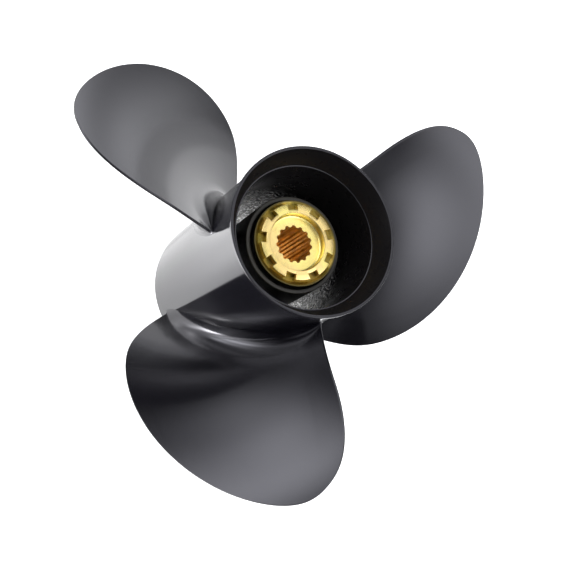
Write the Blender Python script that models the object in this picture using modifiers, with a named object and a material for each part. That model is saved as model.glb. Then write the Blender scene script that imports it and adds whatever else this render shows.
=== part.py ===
"""Three-blade propeller of an outboard motor, with its exhaust passage through the hub.

The casting is the outer barrel, the three blades, the inner tube and the ribs between tube and barrel. A rubber bush
sits in the inner tube, a brass sleeve with a splined bore goes through the bush, and an end plate lies under the
sleeve's castellated head. The casting's regions are separate solids here.

The frame is the shaft's: +Z runs along it, aft, the way the water leaves, and the origin is on it at the hub's
front end. Seen from aft, the propeller turns clockwise and drives ahead. Blender units are metres; the
dimensions below are millimetres and degrees.
"""

import math

import bmesh
import bpy
import numpy as np
from mathutils import Matrix, Vector

MM = 0.001
GAP = 0.3

# The screw that the blades follow: 14 inch diameter and 19 inch pitch. The pitch grows a little outwards, the
# rake carries the blade aft, less so towards the tip, and both edges droop forward.
PITCH = 482.6
BLADE_COUNT = 3
BLADE_PHASE = 55.0
BLADE_ROOT_HEIGHT = 57.1
PITCH_RISE = 0.029
RAKE = 0.544
RAKE_FALL = 0.00194
EDGE_DROOP = 0.031

# Control points of a blade's outline, as degrees round the shaft and distance from it, from the trailing
# edge's root over the tip to the leading edge's root
OUTLINE = (
    (57.8, 53.3),
    (51.0, 70.9),
    (49.5, 109.0),
    (44.9, 150.4),
    (39.2, 168.7),
    (33.3, 180.6),
    (16.5, 173.8),
    (-4.5, 150.0),
    (-21.3, 117.7),
    (-27.1, 95.1),
    (-30.6, 53.3),
)
TRAILING_END = 0.40
LEADING_START = 0.66
ROOT_RADIUS = 53.3
TIP_RADIUS = 177.8
ROOT_THICKNESS = 11.0
OUTER_THICKNESS = 4.0
EDGE_THICKNESS = 2.0
EDGE_BEVEL = 0.6
EDGE_ANGLE = 60.0
ROOT_FILLET = 15.0
FILLET_START = 0.45
ROOT_SINK = 1.2
EDGE_FILLET = 3.5
FILLET_REACH = 1.2
FORWARD_FILLET = 0.45
EDGE_ZONE = 0.12
EDGE_TURN = 75.0
EDGE_SHARES = (0.0, 0.025, 0.065)
FILLET_STEPS = 5
CHORD_STEPS = 20
SPAN_STEPS = 19

# Barrel, with a flared lip aft
HUB_LENGTH = 177.4
BARREL_FRONT_RADIUS = 55.9
BARREL_AFT_RADIUS = 56.9
FRONT_ROUNDING = 3.0
BORE_CHAMFER = 0.8
BARREL_BORE = 49.7
FLARE_RADIUS = 59.27
FLARE_LENGTH = 7.0
FLARE_STEPS = 4
LIP_WIDTH = 2.0
LIP_BAND = 1.8
LIP_EDGE = 0.5
FLARE_DEPTH = 15.5
STEP_WIDTH = 0.8

# Inner tube and the ribs that hold it
TUBE_AFT = 141.0
TUBE_FRONT = 12.0
TUBE_RADIUS = 34.6
TUBE_BORE = 31.4
TUBE_EDGE = 0.7
RIB_COUNT = 3
RIB_THICKNESS = 6.0
RIB_PHASE = 90.0
RIB_FRONT = 18.0
RIB_AFT = 106.0
RIB_SLOPE = 12.0

# Rubber bush
BUSH_AFT = 137.5
BUSH_FRONT = 22.0
BUSH_DISH = 3.0

# Brass sleeve
SLEEVE_FRONT = 16.0
SLEEVE_RADIUS = 19.0
HEAD_AFT = 149.4
HEAD_RADIUS = 26.9
HEAD_THICKNESS = 4.5
HEAD_EDGE = 0.4
NECK_RADIUS = 22.7
NECK_FRONT = BUSH_AFT + GAP
RECESS_RADIUS = 20.3
RECESS_DEPTH = 6.2
RECESS_FILLET = 1.8
NOTCH_COUNT = 9
NOTCH_WIDTH = 7.2
NOTCH_BOTTOM = 22.9
NOTCH_PHASE = 35.4
SPLINE_TEETH = 15
SPLINE_MAJOR = 13.2
SPLINE_MINOR = 11.9
SPLINE_PHASE = 4.7
SPLINE_STEPS = 8
SPLINE_FLANK = 1.6

# End plate under the head
PLATE_RADIUS = 30.5
PLATE_THICKNESS = 2.0
PLATE_FLAT = 27.5
PLATE_RIM = 1.2
PLATE_RIM_WIDTH = 0.8

ROUND_STEPS = 90
INNER_ROUND_STEPS = 60

# Colour, roughness and metallic value of each finish
BLACK_PAINT = ((0.035, 0.036, 0.040, 1.0), 0.28, 0.0)
BLACK_CORE = ((0.020, 0.019, 0.020, 1.0), 0.55, 0.0)
BLACK_RUBBER = ((0.016, 0.015, 0.014, 1.0), 0.75, 0.0)
BRASS = ((0.83, 0.66, 0.28, 1.0), 0.30, 1.0)
OLIVE_PLATE = ((0.36, 0.31, 0.10, 1.0), 0.42, 1.0)


def clear_scene():
    for old in list(bpy.data.objects):
        bpy.data.objects.remove(old, do_unlink=True)


def new_collection(name):
    collection = bpy.data.collections.new(name)
    bpy.context.scene.collection.children.link(collection)
    return collection


def new_material(name, finish):
    colour, roughness, metallic = finish
    material = bpy.data.materials.new(name)
    material.use_nodes = True
    shader = material.node_tree.nodes["Principled BSDF"]
    shader.inputs["Base Color"].default_value = colour
    shader.inputs["Roughness"].default_value = roughness
    shader.inputs["Metallic"].default_value = metallic
    material.diffuse_color = colour
    return material


def new_object(name, mesh, collection, finish=None):
    made = bpy.data.objects.new(name, mesh)
    collection.objects.link(made)
    if finish:
        mesh.materials.append(new_material(name, finish))
    return made


def mesh_from(bm, name):
    mesh = bpy.data.meshes.new(name)
    bm.to_mesh(mesh)
    bm.free()
    return mesh


def turned(name, profile, collection, finish=None, steps=ROUND_STEPS):
    """A ring or tube turned about Z. The profile is (radius, height) in millimetres, closed, and runs down its
    outer side."""
    bm = bmesh.new()
    points = [bm.verts.new((radius * MM, 0.0, height * MM)) for radius, height in profile]
    for first, second in zip(points, points[1:] + points[:1]):
        bm.edges.new((first, second))
    made = new_object(name, mesh_from(bm, name), collection, finish)
    screw = made.modifiers.new("Turn", "SCREW")
    screw.axis = "Z"
    screw.steps = steps
    screw.render_steps = steps
    screw.use_merge_vertices = True
    screw.merge_threshold = 0.00001
    screw.use_smooth_shade = True
    return made


def arc(centre_radius, centre_height, radius, start, end, steps):
    """Points of an arc in the profile's plane, its angles in degrees from the outward direction."""
    angles = [math.radians(start + (end - start) * step / steps) for step in range(steps + 1)]
    return [(centre_radius + radius * math.cos(a), centre_height + radius * math.sin(a)) for a in angles]


def cut(made, cutter, name):
    boolean = made.modifiers.new(name, "BOOLEAN")
    boolean.operation = "DIFFERENCE"
    boolean.solver = "EXACT"
    boolean.object = cutter


def hide_cutter(cutter):
    cutter.hide_render = True
    cutter.display_type = "WIRE"
    return cutter


def ease(value):
    """Smooth step from 0 to 1."""
    value = min(max(value, 0.0), 1.0)
    return value * value * (3.0 - 2.0 * value)


def outline_point(share):
    """A point of the blade's outline, a cubic B-spline steered by OUTLINE, at a share of it from 0 to 1."""
    degree = 3
    spans = len(OUTLINE) - degree
    knots = [0.0] * degree + [step / spans for step in range(spans + 1)] + [1.0] * degree
    share = min(max(share, 0.0), 1.0 - 1e-9)
    span = degree + int(share * spans)
    points = [np.array(OUTLINE[index]) for index in range(span - degree, span + 1)]
    for level in range(1, degree + 1):
        for step in range(degree, level - 1, -1):
            low = knots[span - degree + step]
            high = knots[span + 1 + step - level]
            weight = (share - low) / (high - low)
            points[step] = (1.0 - weight) * points[step - 1] + weight * points[step]
    return points[degree]


def blade_spot(across, along):
    """Where a blade has the share `across` of its chord from the trailing edge and the share `along` of its
    span from the root, as degrees round the shaft and distance from it: a patch between the outline's sides."""
    trailing = outline_point(TRAILING_END * along)
    leading = outline_point(1.0 - (1.0 - LEADING_START) * along)
    tip = outline_point(TRAILING_END + (LEADING_START - TRAILING_END) * across)
    tip_line = (1.0 - across) * outline_point(TRAILING_END) + across * outline_point(LEADING_START)
    return (1.0 - across) * trailing + across * leading + along * (tip - tip_line)


def blade_height(angle, radius):
    """Height of a blade's aft face over the hub's front end."""
    turn = math.radians(angle)
    out = radius - ROOT_RADIUS
    screw = (PITCH / math.tau + PITCH_RISE * out) * turn
    return BLADE_ROOT_HEIGHT + screw + RAKE * out - RAKE_FALL * out**2 - EDGE_DROOP * turn**2 * radius


def barrel_radius(height):
    """The barrel's outer radius, ahead of the flare."""
    return BARREL_FRONT_RADIUS + (BARREL_AFT_RADIUS - BARREL_FRONT_RADIUS) * height / HUB_LENGTH


def share_at_rise(across, rise):
    """The share of the span at which the blade stands this far off the barrel."""
    low, high = 0.0, 0.5
    for _ in range(20):
        middle = (low + high) / 2.0
        angle, radius = blade_spot(across, middle)
        if radius - barrel_radius(blade_height(angle, radius)) < rise:
            low = middle
        else:
            high = middle
    return low


def chord_share(column):
    """Share of the chord at a column of the grid, with columns close together near both edges."""
    edge_columns = len(EDGE_SHARES)
    if column < edge_columns:
        return EDGE_SHARES[column]
    if column > CHORD_STEPS - edge_columns:
        return 1.0 - EDGE_SHARES[CHORD_STEPS - column]
    inner = (column - edge_columns) / (CHORD_STEPS - 2 * edge_columns)
    return EDGE_ZONE + (1.0 - 2.0 * EDGE_ZONE) * inner


def span_share(across, row):
    """Share of the span at a row of the grid, and how far the root's fillet stands out there. The fillet is full
    in the middle of the chord and small at the edges, reaches further up the blade than along the barrel, and
    ends in a low step, so that the barrel's clearance cuts it cleanly."""
    fillet = EDGE_FILLET + (ROOT_FILLET - EDGE_FILLET) * (1.0 - abs(2.0 * across - 1.0) ** 3)
    reach = FILLET_REACH * fillet
    steepest = math.asin(1.0 - FILLET_START / fillet)
    if row == 0:
        return share_at_rise(across, -ROOT_SINK), fillet * (1.0 - math.cos(steepest))
    if row <= FILLET_STEPS:
        bend = steepest * (1.0 - (row - 1) / FILLET_STEPS)
        return share_at_rise(across, reach * (1.0 - math.sin(bend))), fillet * (1.0 - math.cos(bend))
    start = share_at_rise(across, reach)
    share = (row - 1 - FILLET_STEPS) / (SPAN_STEPS - 1 - FILLET_STEPS)
    return start + (1.0 - start) * share, 0.0


def blade_thickness(across, along, radius):
    share = ease((radius - ROOT_RADIUS) / (TIP_RADIUS - ROOT_RADIUS))
    middle = ROOT_THICKNESS + (OUTER_THICKNESS - ROOT_THICKNESS) * share
    belly = (1.0 - (2.0 * across - 1.0) ** 2) * (1.0 - along**6)
    return EDGE_THICKNESS + (middle - EDGE_THICKNESS) * belly


def blade_point(column, row, forward):
    """A point of a blade's aft face, or of its forward face, in metres, before the blade is turned to its place."""
    across = chord_share(column)
    along, growth = span_share(across, row)
    if forward:
        growth *= FORWARD_FILLET
    angle, radius = blade_spot(across, along)
    lean = math.atan2(PITCH / math.tau, radius)
    edge_share = max(0.0, 1.0 - min(across, 1.0 - across) / EDGE_ZONE)
    edge_turn = math.radians(EDGE_TURN * edge_share)
    depth = -growth * math.cos(edge_turn)
    if forward:
        depth = blade_thickness(across, along, radius) - depth
    sideways = math.copysign(growth * math.sin(edge_turn), 0.5 - across)
    turn = math.radians(angle) + (depth * math.sin(lean) + sideways * math.cos(lean)) / radius
    height = blade_height(angle, radius) + sideways * math.sin(lean) - depth * math.cos(lean)
    return Vector((radius * math.cos(turn), radius * math.sin(turn), height)) * MM


def blade_mesh():
    """The grid of the aft face, closed by extruding it to the forward face."""
    bm = bmesh.new()
    bmesh.ops.create_grid(bm, x_segments=CHORD_STEPS, y_segments=SPAN_STEPS, size=1.0)
    aft = list(bm.verts)
    made = bmesh.ops.extrude_face_region(bm, geom=list(bm.faces))
    forward = [item for item in made["geom"] if isinstance(item, bmesh.types.BMVert)]
    for verts, is_forward in ((aft, False), (forward, True)):
        for vert in verts:
            column = round((vert.co.x + 1.0) / 2.0 * CHORD_STEPS)
            row = round((vert.co.y + 1.0) / 2.0 * SPAN_STEPS)
            vert.co = blade_point(column, row, is_forward)
    bmesh.ops.recalc_face_normals(bm, faces=list(bm.faces))
    return mesh_from(bm, "blade")


def barrel_profile():
    """The barrel's section, down its outside from the flared lip and up its bore."""
    outside = [(FLARE_RADIUS - LIP_EDGE, HUB_LENGTH), (FLARE_RADIUS, HUB_LENGTH - LIP_EDGE)]
    flare_end = HUB_LENGTH - LIP_BAND
    flare_start = HUB_LENGTH - FLARE_LENGTH
    for step in range(FLARE_STEPS + 1):
        share = step / FLARE_STEPS
        height = flare_end + (flare_start - flare_end) * share
        outside.append((FLARE_RADIUS + (barrel_radius(height) - FLARE_RADIUS) * ease(share), height))
    centre = BARREL_FRONT_RADIUS - FRONT_ROUNDING
    front = arc(centre, FRONT_ROUNDING, FRONT_ROUNDING, 0.0, -90.0, 3)
    bore = [
        (BARREL_BORE + BORE_CHAMFER, 0.0),
        (BARREL_BORE, 2.0 * BORE_CHAMFER),
        (BARREL_BORE, HUB_LENGTH - FLARE_DEPTH),
        (BARREL_BORE + STEP_WIDTH, HUB_LENGTH - FLARE_DEPTH),
        (FLARE_RADIUS - LIP_WIDTH, HUB_LENGTH),
    ]
    return outside + front + bore


def make_barrel(parts):
    turned("outer_barrel", barrel_profile(), parts, BLACK_PAINT)


def make_blades(parts, cutters):
    """Three blades on one mesh, each cut back to the barrel's curve."""
    outside = [(barrel_radius(height) + GAP, height) for height in (HUB_LENGTH, 0.0)]
    inside = [(TUBE_RADIUS, 0.0), (TUBE_RADIUS, HUB_LENGTH)]
    clearance = hide_cutter(turned("barrel_clearance", outside + inside, cutters))
    mesh = blade_mesh()
    mesh.shade_smooth()
    mesh.set_sharp_from_angle(angle=math.radians(EDGE_ANGLE))
    mesh.materials.append(new_material("blade", BLACK_PAINT))
    for number in range(BLADE_COUNT):
        blade = bpy.data.objects.new(f"blade_{number + 1}", mesh)
        parts.objects.link(blade)
        blade.rotation_euler.z = math.radians(BLADE_PHASE + number * 360.0 / BLADE_COUNT)
        bevel = blade.modifiers.new("Edge", "BEVEL")
        bevel.width = EDGE_BEVEL * MM
        bevel.segments = 1
        bevel.angle_limit = math.radians(EDGE_ANGLE)
        cut(blade, clearance, "Barrel clearance")


def make_tube(parts):
    profile = [
        (TUBE_RADIUS - TUBE_EDGE, TUBE_AFT),
        (TUBE_RADIUS, TUBE_AFT - TUBE_EDGE),
        (TUBE_RADIUS, TUBE_FRONT),
        (TUBE_BORE + TUBE_EDGE, TUBE_FRONT),
        (TUBE_BORE, TUBE_FRONT + TUBE_EDGE),
        (TUBE_BORE, TUBE_AFT - TUBE_EDGE),
        (TUBE_BORE + TUBE_EDGE, TUBE_AFT),
    ]
    turned("inner_tube", profile, parts, BLACK_CORE, INNER_ROUND_STEPS)


def make_ribs(parts):
    """Webs between the inner tube and the barrel, both their ends drawn in towards the barrel."""
    half = RIB_THICKNESS / 2.0
    inner = TUBE_RADIUS + GAP
    outer = math.sqrt((BARREL_BORE - GAP) ** 2 - half**2)
    for number in range(RIB_COUNT):
        bm = bmesh.new()
        bmesh.ops.create_cube(bm, size=1.0)
        for vert in bm.verts:
            at_barrel = vert.co.x > 0.0
            slope = RIB_SLOPE if at_barrel else 0.0
            height = RIB_AFT - slope if vert.co.z > 0.0 else RIB_FRONT + slope / 2.0
            vert.co = Vector((outer if at_barrel else inner, math.copysign(half, vert.co.y), height)) * MM
        name = f"hub_rib_{number + 1}"
        rib = new_object(name, mesh_from(bm, name), parts, BLACK_CORE)
        rib.rotation_euler.z = math.radians(RIB_PHASE + number * 360.0 / RIB_COUNT)


def make_bush(parts):
    inner = SLEEVE_RADIUS + GAP
    outer = TUBE_BORE - GAP
    middle = (inner + outer) / 2.0
    profile = [
        (outer, BUSH_AFT),
        (outer, BUSH_FRONT),
        (middle, BUSH_FRONT + BUSH_DISH),
        (inner, BUSH_FRONT),
        (inner, BUSH_AFT),
        (middle, BUSH_AFT - BUSH_DISH),
    ]
    turned("rubber_bush", profile, parts, BLACK_RUBBER, INNER_ROUND_STEPS)


def spline_cutter(cutters):
    """The splined bore as a solid: a prism whose corners step in and out once for each tooth."""
    bm = bmesh.new()
    bmesh.ops.create_cone(
        bm,
        cap_ends=True,
        segments=SPLINE_TEETH * SPLINE_STEPS,
        radius1=1.0,
        radius2=1.0,
        depth=2.0 * HUB_LENGTH * MM,
        matrix=Matrix.Translation((0.0, 0.0, HUB_LENGTH / 2.0 * MM)),
    )
    middle = (SPLINE_MAJOR + SPLINE_MINOR) / 2.0
    half_depth = (SPLINE_MAJOR - SPLINE_MINOR) / 2.0
    for vert in bm.verts:
        turn = math.atan2(vert.co.y, vert.co.x)
        wave = SPLINE_FLANK * math.cos(SPLINE_TEETH * turn)
        radius = (middle + half_depth * min(max(wave, -1.0), 1.0)) * MM
        vert.co.x = radius * math.cos(turn)
        vert.co.y = radius * math.sin(turn)
    cutter = hide_cutter(new_object("spline_cutter", mesh_from(bm, "spline_cutter"), cutters))
    cutter.rotation_euler.z = math.radians(SPLINE_PHASE)
    return cutter


def notch_cutter(cutters):
    """The notches of the castellated head: one block for each, from the neck outwards."""
    bm = bmesh.new()
    reach = 2.0 * (HEAD_RADIUS - NOTCH_BOTTOM)
    height = 2.0 * HEAD_THICKNESS
    for number in range(NOTCH_COUNT):
        turn = Matrix.Rotation(math.radians(NOTCH_PHASE + number * 360.0 / NOTCH_COUNT), 4, "Z")
        middle = Vector((NOTCH_BOTTOM + reach / 2.0, 0.0, HEAD_AFT - HEAD_THICKNESS / 2.0)) * MM
        size = Matrix.Diagonal((reach * MM, NOTCH_WIDTH * MM, height * MM, 1.0))
        bmesh.ops.create_cube(bm, size=1.0, matrix=turn @ Matrix.Translation(middle) @ size)
    return hide_cutter(new_object("notch_cutter", mesh_from(bm, "notch_cutter"), cutters))


def make_sleeve(parts, cutters):
    """Sleeve with its castellated head and the recess in it. The turned piece's core is cut away by the splined
    bore."""
    under_head = HEAD_AFT - HEAD_THICKNESS
    floor = HEAD_AFT - RECESS_DEPTH
    core = SPLINE_MINOR / 2.0
    recess = arc(RECESS_RADIUS - RECESS_FILLET, floor + RECESS_FILLET, RECESS_FILLET, -90.0, 0.0, 3)
    profile = [
        (HEAD_RADIUS - HEAD_EDGE, HEAD_AFT),
        (HEAD_RADIUS, HEAD_AFT - HEAD_EDGE),
        (HEAD_RADIUS, under_head),
        (NECK_RADIUS, under_head),
        (NECK_RADIUS, NECK_FRONT),
        (SLEEVE_RADIUS, NECK_FRONT),
        (SLEEVE_RADIUS, SLEEVE_FRONT),
        (core, SLEEVE_FRONT),
        (core, floor),
        *recess,
        (RECESS_RADIUS + HEAD_EDGE, HEAD_AFT),
    ]
    sleeve = turned("splined_sleeve", profile, parts, BRASS, ROUND_STEPS)
    cut(sleeve, spline_cutter(cutters), "Splined bore")
    cut(sleeve, notch_cutter(cutters), "Notches")


def make_plate(parts):
    """Washer under the head, its edge raised a little."""
    top = HEAD_AFT - HEAD_THICKNESS - GAP
    bottom = top - PLATE_THICKNESS
    inner = NECK_RADIUS + GAP
    profile = [
        (PLATE_RADIUS, top + PLATE_RIM),
        (PLATE_RADIUS, bottom + PLATE_RIM),
        (PLATE_FLAT, bottom),
        (inner, bottom),
        (inner, top),
        (PLATE_FLAT, top),
        (PLATE_RADIUS - PLATE_RIM_WIDTH, top + PLATE_RIM),
    ]
    turned("end_plate", profile, parts, OLIVE_PLATE, INNER_ROUND_STEPS)


def build():
    clear_scene()
    parts = new_collection("outboard_propeller")
    cutters = new_collection("cutters")
    cutters.hide_render = True
    make_barrel(parts)
    make_blades(parts, cutters)
    make_tube(parts)
    make_ribs(parts)
    make_bush(parts)
    make_sleeve(parts, cutters)
    make_plate(parts)


build()
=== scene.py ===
"""Outboard motor propeller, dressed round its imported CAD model.

The hub stands on its front end with the shaft's axis along Z, and the camera looks at the aft side. Each operator
makes one piece of the propeller, or a group of like pieces, and says which CAD nodes it stands for. Sizes are in
metres and angles in radians.
"""

import math

import bmesh
import bpy
from bpy.props import FloatProperty, FloatVectorProperty, IntProperty, PointerProperty
from mathutils import Matrix, Vector


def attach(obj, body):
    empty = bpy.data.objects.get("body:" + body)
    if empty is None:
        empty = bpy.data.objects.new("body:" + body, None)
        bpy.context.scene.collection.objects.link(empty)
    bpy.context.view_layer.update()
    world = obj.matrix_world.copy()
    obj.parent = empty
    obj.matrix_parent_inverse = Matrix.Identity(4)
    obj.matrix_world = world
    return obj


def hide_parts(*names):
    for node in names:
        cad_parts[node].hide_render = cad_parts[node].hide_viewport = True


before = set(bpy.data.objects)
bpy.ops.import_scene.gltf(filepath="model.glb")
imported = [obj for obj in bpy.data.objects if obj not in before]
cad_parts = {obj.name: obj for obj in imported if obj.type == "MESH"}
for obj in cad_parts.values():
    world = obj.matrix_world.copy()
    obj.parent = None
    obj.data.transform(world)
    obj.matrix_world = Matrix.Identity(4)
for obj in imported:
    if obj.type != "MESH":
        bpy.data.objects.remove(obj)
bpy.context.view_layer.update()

bl_info = {
    "name": "Outboard propeller",
    "version": (1, 0, 0),
    "blender": (4, 5, 0),
    "location": "3D View > Sidebar > Propeller",
    "description": "Makes a three-blade outboard propeller with its splined brass sleeve",
    "category": "Add Mesh",
}

# Control points of a blade's outline, as degrees round the shaft and metres from it, from the trailing edge's
# root over the tip to the leading edge's root
OUTLINE = (
    (57.8, 0.0533),
    (51.0, 0.0709),
    (49.5, 0.1090),
    (44.9, 0.1504),
    (39.2, 0.1687),
    (33.3, 0.1806),
    (16.5, 0.1738),
    (-4.5, 0.1500),
    (-21.3, 0.1177),
    (-27.1, 0.0951),
    (-30.6, 0.0533),
)
TRAILING_END = 0.40
LEADING_START = 0.66

# How a blade's rim is rounded: the share of the rounding by which each level stays inside the outline, and its
# depth from the aft face, or from the forward face where it is negative, in roundings
RIM_LEVELS = ((1.0, 0.0), (0.29, 0.29), (0.0, 1.0), (0.0, -1.0), (0.29, -0.29), (1.0, 0.0))

# Shares of the chord and of the span at which a blade's grid is close together, near both edges and the tip
EDGE_COLUMNS = (0.0, 0.003, 0.010, 0.025, 0.050, 0.085)
EDGE_ZONE = 0.13
TIP_ROWS = (0.997, 0.990, 0.975, 0.950)
TIP_ZONE = 0.915

# Rough chord and span of a blade, by which its rim's rounding is turned into shares
ROUGH_CHORD = 0.15
ROUGH_SPAN = 0.125

# At the edges the root's fillet turns sideways by this angle, within this share of the chord
FILLET_TURN = math.radians(75.0)
FILLET_TURN_ZONE = 0.12

ROUND_STEPS = 256
SLEEVE_COLUMNS = 360
NEAR = 1e-5

# The camera: its place, its axes to the right and backwards, its focal length and the photo's width in pixels
CAMERA_PLACE = (0.0220, -0.4197, 0.9331)
CAMERA_RIGHT = (0.5023, 0.7724, 0.3888)
CAMERA_BACK = (0.0004, -0.4498, 0.8931)
FOCAL_PIXELS = 1302.42
PHOTO_PIXELS = 571.0
SENSOR_WIDTH = 36.0

# Brighter spots on the floor: a place, a width and a strength
FLOOR_SPOTS = (
    (-0.112, -0.055, 0.032, 1.6),
    (-0.063, -0.108, 0.032, 1.2),
    (-0.112, -0.166, 0.032, 5.0),
    (-0.055, -0.220, 0.042, 13.0),
    (-0.055, -0.285, 0.050, 36.0),
    (-0.305, -0.790, 0.200, 9.0),
    (-0.489, -0.104, 0.100, 5.0),
)

# Soft lights of the studio. For each width in degrees: turn round the shaft and height over the horizon in degrees,
# and brightness
SOFT_LIGHTS = {
    9.0: (
        (21, 14, 0.7), (291, 28, 0.8), (3, 28, 1.4), (313, 42, 1.2), (331, 42, 2.0), (348, 42, 3.6),
        (6, 42, 3.3), (24, 42, 1.0), (41, 42, 3.6), (28, 56, 4.0), (140, -1, 1.0), (188, -1, 1.2),
        (208, 13, 0.8), (176, 28, 2.0), (192, 28, 0.9), (189, 43, 4.3), (198, 58, 5.5),
        (74, 3, 0.8), (89, 3, 1.6), (105, 3, 2.9), (120, 20, 5.8),
    ),
    14.0: (
        (95, 63, 1.9),
    ),
    12.0: (
        (234, 30, 1.2),
    ),
    6.0: (
        (222, -3, 9.2), (238, -3, 10.0), (252, -3, 4.3), (222, 7, 3.1), (238, 7, 7.4),
        (252, 7, 2.2), (268, 7, 0.6),
    ),
}


def length(name, default, description):
    return FloatProperty(
        name=name, description=description, default=default, min=0.0, precision=5, subtype="DISTANCE", unit="LENGTH"
    )


def turn(name, degrees, description):
    return FloatProperty(
        name=name, description=description, default=math.radians(degrees), subtype="ANGLE", unit="ROTATION"
    )


def amount(name, default, description, low=0.0, high=10.0):
    return FloatProperty(name=name, description=description, default=default, min=low, max=high, precision=4)


def colour(name, default, description):
    return FloatVectorProperty(
        name=name, description=description, default=(*default, 1.0), min=0.0, max=1.0, size=4, subtype="COLOR"
    )


def count(name, default, description, low, high):
    return IntProperty(name=name, description=description, default=default, min=low, max=high)


class BarrelSizes(bpy.types.PropertyGroup):
    """The hub's outer barrel, with its flared lip."""

    length: length("Length", 0.1774, "From the front end to the aft lip")
    front_radius: length("Front radius", 0.0559, "Outer radius at the front end")
    aft_radius: length("Aft radius", 0.0569, "Outer radius that the barrel would have at the lip without its flare")
    lip_radius: length("Lip radius", 0.05927, "Outer radius of the flared lip")
    lip_width: length("Lip width", 0.0020, "Width of the lip's end face")
    lip_band: length("Lip band", 0.0018, "Straight band under the lip's edge")
    lip_rounding: length("Lip rounding", 0.0005, "Rounding of the lip's two edges")
    flare_length: length("Flare length", 0.0070, "Length of the flare on the outside")
    flare_depth: length("Flare depth", 0.0155, "Depth of the flared mouth inside, down to its step")
    step_width: length("Step width", 0.0008, "Width of the step at the foot of the flared mouth")
    step_fillet: length("Step fillet", 0.0002, "Rounding where the bore meets the step")
    bore_radius: length("Bore radius", 0.0497, "Inner radius of the barrel")
    front_rounding: length("Front rounding", 0.0030, "Rounding of the front end's outer edge")
    bore_rounding: length("Bore rounding", 0.0012, "Rounding of the front end's inner edge")


class BladeSizes(bpy.types.PropertyGroup):
    """The blades, their screw surface, thickness and fillets."""

    count: count("Blades", 3, "Number of blades", 1, 6)
    phase: turn("Phase", 55.0, "Turn of the first blade round the shaft")
    pitch: length("Pitch", 0.4826, "Way that the screw makes in one turn")
    pitch_rise: amount("Pitch rise", 0.029, "Growth of the pitch outwards, in metres a radian for each metre")
    rake: amount("Rake", 0.544, "Lean of the blade aft, at its root")
    rake_fall: amount("Rake fall", 1.94, "How fast the lean gets less outwards, for each metre")
    edge_droop: amount("Edge droop", 0.031, "How far both edges fall forward")
    root_height: length("Root height", 0.0571, "Height of the aft face's middle line where it meets the barrel")
    root_radius: length("Root radius", 0.0533, "Radius from which rake and thickness are counted")
    tip_radius: length("Tip radius", 0.1778, "Radius of the blade circle")
    root_thickness: length("Root thickness", 0.0110, "Thickness in the middle of the chord, at the root")
    outer_thickness: length("Outer thickness", 0.0040, "Thickness in the middle of the chord, near the tip")
    edge_thickness: length("Edge thickness", 0.0020, "Thickness of the rim")
    edge_rounding: length("Edge rounding", 0.0006, "Rounding of the rim's two edges")
    root_fillet: length("Root fillet", 0.0150, "Width of the root's fillet on the barrel, in the middle of the chord")
    edge_fillet: length("Edge fillet", 0.0035, "Width of the root's fillet on the barrel, at both edges")
    fillet_reach: amount("Fillet reach", 1.2, "How much further the fillet goes up the blade than along the barrel")
    forward_fillet: amount("Forward fillet", 0.45, "Share of the fillet's width that the forward face has")
    columns: count("Columns", 76, "Faces across a blade", 16, 200)
    rows: count("Rows", 64, "Faces from root to tip", 24, 200)
    fillet_rows: count("Fillet rows", 12, "Faces across the fillet", 3, 40)


class CoreSizes(bpy.types.PropertyGroup):
    """The inner tube, its ribs and the rubber bush."""

    tube_aft: length("Tube aft end", 0.1410, "Height of the inner tube's aft end")
    tube_front: length("Tube front end", 0.0120, "Height of the inner tube's front end")
    tube_radius: length("Tube radius", 0.0346, "Outer radius of the inner tube")
    tube_bore: length("Tube bore", 0.0314, "Inner radius of the inner tube")
    tube_rounding: length("Tube rounding", 0.0008, "Rounding of the tube's edges")
    rib_count: count("Ribs", 3, "Number of ribs", 1, 8)
    rib_phase: turn("Rib phase", 90.0, "Turn of the first rib round the shaft")
    rib_thickness: length("Rib thickness", 0.0060, "Thickness of a rib")
    rib_front: length("Rib front end", 0.0180, "Height of a rib's front end, at the tube")
    rib_aft: length("Rib aft end", 0.1060, "Height of a rib's aft end, at the tube")
    rib_slope: length("Rib slope", 0.0120, "How much lower a rib's aft end is at the barrel")
    rib_rounding: length("Rib rounding", 0.0016, "Rounding of a rib's edges")
    rib_overlap: length("Rib overlap", 0.0008, "How far a rib goes into tube and barrel")
    bush_aft: length("Bush aft end", 0.1375, "Height of the bush's aft end")
    bush_front: length("Bush front end", 0.0220, "Height of the bush's front end")
    bush_dish: length("Bush dish", 0.0030, "Depth of the hollow in the bush's ends")
    bush_gap: length("Bush gap", 0.0001, "Gap between the bush and the sleeve or the tube")


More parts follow.
